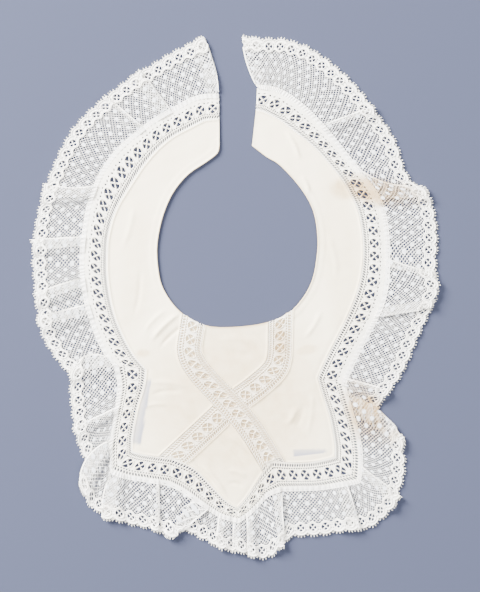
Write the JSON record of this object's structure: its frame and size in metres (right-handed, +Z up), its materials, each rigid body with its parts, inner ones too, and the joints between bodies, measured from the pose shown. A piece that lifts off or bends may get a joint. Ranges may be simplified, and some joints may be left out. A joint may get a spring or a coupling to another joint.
{
  "type": "lace collar",
  "caption": "Shaped cotton collar with lace insertion, crossed lace bands on the front yoke and a gathered scalloped lace edging, open at the back, laid out flat.",
  "frame": {"origin": "on the surface the collar lies on, under the middle of its outline", "axes": "+Y from the front point to the back opening, +X towards the end of the collar that is on the right when it is seen from above with the opening at the top, +Z up"},
  "size_m": [0.2658, 0.3398, 0.0036],
  "materials": {
    "batiste": "matte cotton batiste",
    "lining": "matte cotton",
    "insertion_lace": "cotton lace",
    "edging_lace": "cotton lace"
  },
  "bodies": {
    "root": {"panel_left": "batiste", "panel_right": "batiste", "panel_neck": "batiste", "panel_point": "batiste", "yoke_lining": "lining", "band_from_left": "insertion_lace", "band_from_right_upper": "insertion_lace", "band_from_right_lower": "insertion_lace", "border_left_arm": "insertion_lace", "border_left_side": "insertion_lace", "border_left_bottom": "insertion_lace", "border_left_point": "insertion_lace", "border_right_point": "insertion_lace", "border_right_bottom": "insertion_lace", "border_right_side": "insertion_lace", "border_right_arm": "insertion_lace", "edging_left_back": "edging_lace", "edging_left_arm": "edging_lace", "edging_left_side": "edging_lace", "edging_left_point": "edging_lace", "edging_right_point": "edging_lace", "edging_right_corner": "edging_lace", "edging_right_side": "edging_lace", "edging_right_arm": "edging_lace", "edging_right_back": "edging_lace"}
  },
  "joints": []
}
